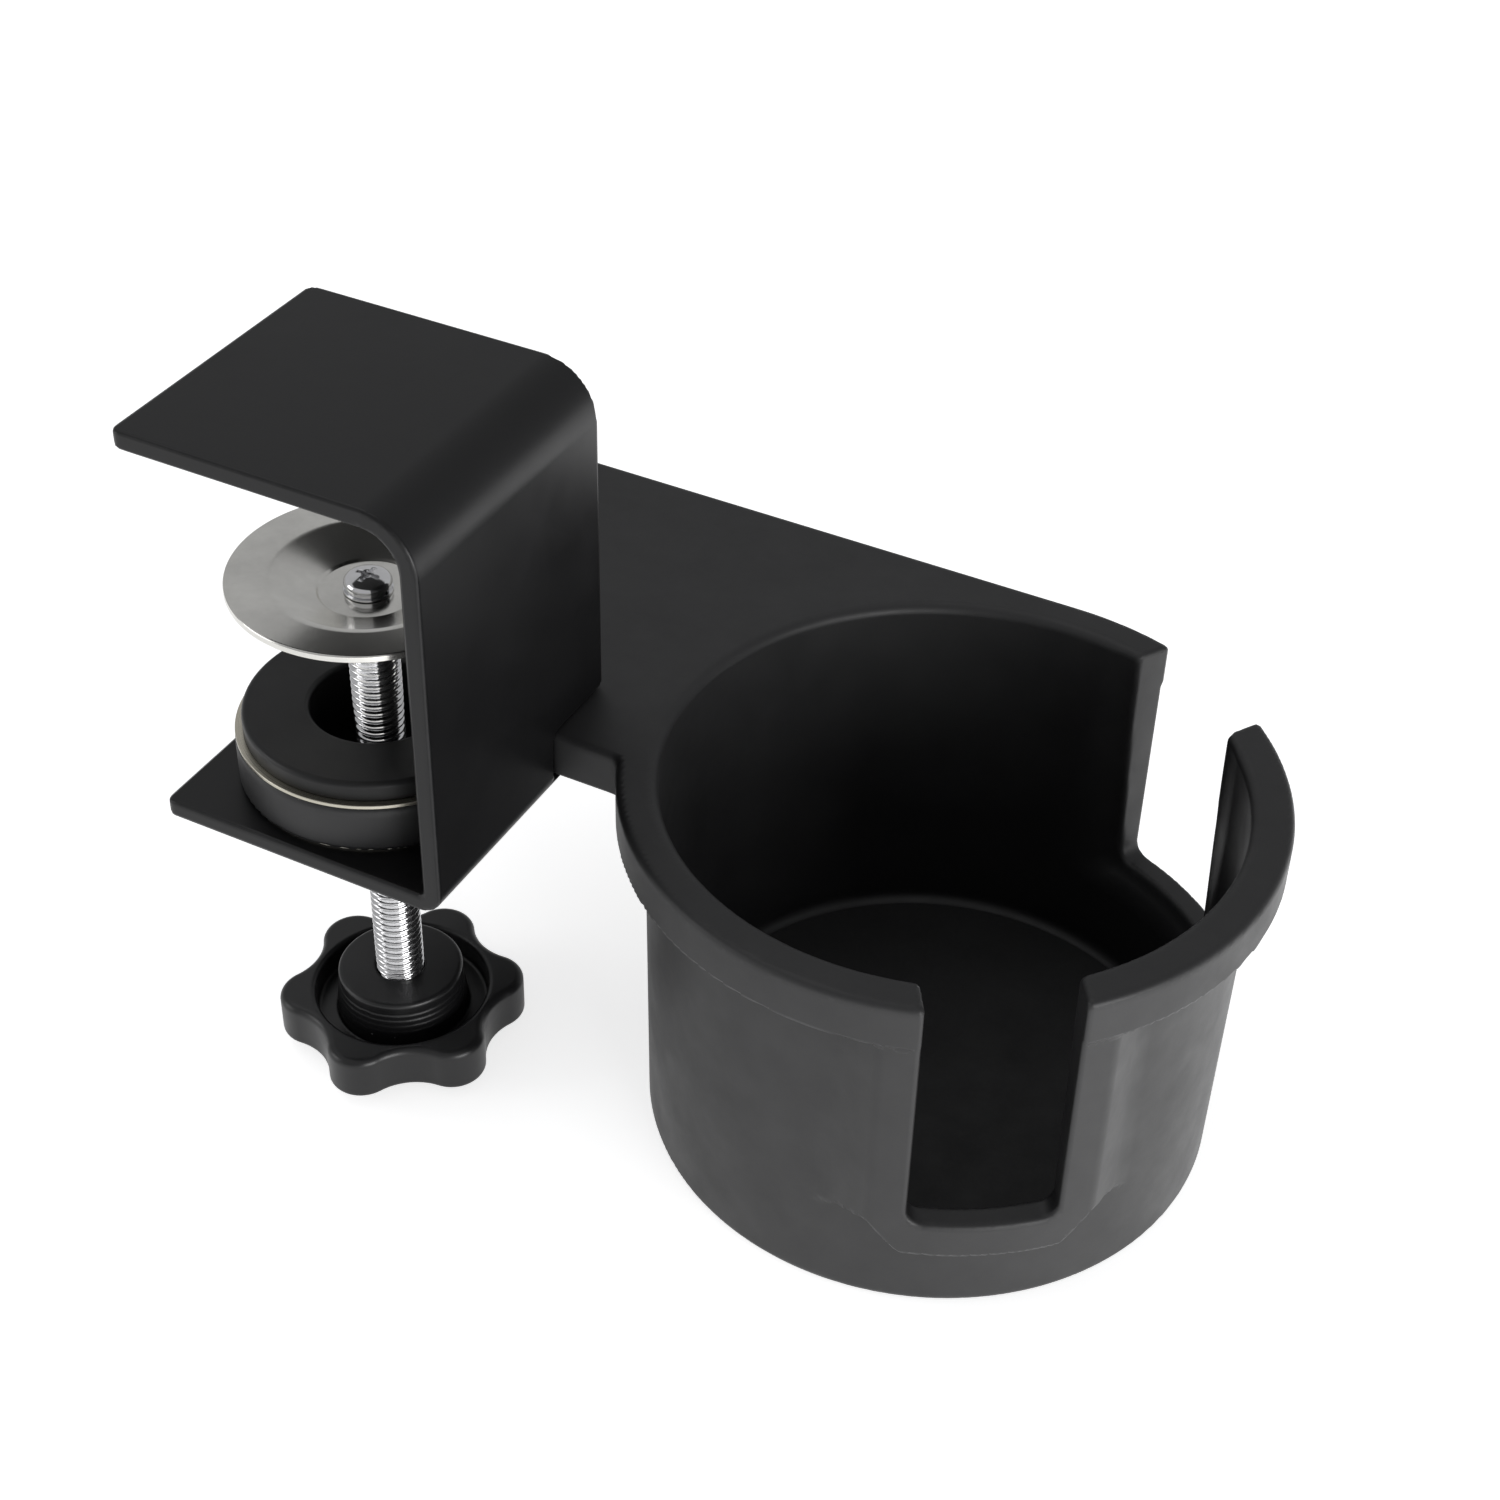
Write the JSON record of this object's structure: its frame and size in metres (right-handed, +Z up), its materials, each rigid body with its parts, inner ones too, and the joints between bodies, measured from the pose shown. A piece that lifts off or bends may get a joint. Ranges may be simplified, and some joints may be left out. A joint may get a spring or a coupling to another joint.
{
  "type": "desk clamp cup holder",
  "caption": "Steel C-bracket desk clamp with a screw, pressure disc and star knob, carrying a slotted plastic cup on an arm that swings round the screw.",
  "frame": {"origin": "on the clamp screw's axis, in the jaw pad's lower face that rests on the desk top", "axes": "+X from the screw's axis to the bracket's web and the cup, +Y along the desk edge, +Z up along the screw"},
  "size_m": [0.1594, 0.1054, 0.124],
  "materials": {
    "bracket_coat": "satin black powder coat",
    "pad_rubber": "fine-celled black EVA",
    "collar_plastic": "satin black moulding",
    "zinc_steel": "bright zinc plate",
    "yellow_zinc": "pale yellow zinc plate",
    "nylon": "natural nylon",
    "cup_plastic": "fine matte texture, charcoal black",
    "mat_foam": "matte black foam sheet",
    "disc_nickel": "pressed sheet, satin nickel plate",
    "knob_plastic": "satin black moulding",
    "brass": "turned"
  },
  "bodies": {
    "bracket": {"clamp_bracket": "bracket_coat", "jaw_pad": "pad_rubber", "weld_nut": "bracket_coat", "pivot_collar": "collar_plastic", "collar_screws": "zinc_steel", "slip_washer": "nylon", "collar_washer": "yellow_zinc"},
    "cup_arm": {"cup_holder": "cup_plastic", "cup_mat": "mat_foam"},
    "pressure_foot": {"pressure_disc": "disc_nickel"},
    "clamp_screw": {"threaded_rod": "zinc_steel", "hand_knob": "knob_plastic", "knob_nut": "brass", "flat_washer": "zinc_steel", "spring_washer": "zinc_steel", "disc_screw": "zinc_steel"}
  },
  "joints": [
    {"name": "arm_swivel", "type": "hinge", "parent": "bracket", "child": "cup_arm", "pos_m": [0, 0, -0.0571], "axis": [0, 0, 1], "range_deg": [0, 170]},
    {"name": "screw_travel", "type": "slide", "parent": "bracket", "child": "pressure_foot", "axis": [0, 0, 1], "range_m": [-0.019, 0.0255]},
    {"name": "knob_turn", "type": "hinge", "parent": "pressure_foot", "child": "clamp_screw", "pos_m": [0, 0, -0.1133], "axis": [0, 0, 1], "range_deg": [-5475, 7350]}
  ],
  "couplings": [
    {"joint": "knob_turn", "follows": "screw_travel", "rad_per_m": 5026.5}
  ]
}
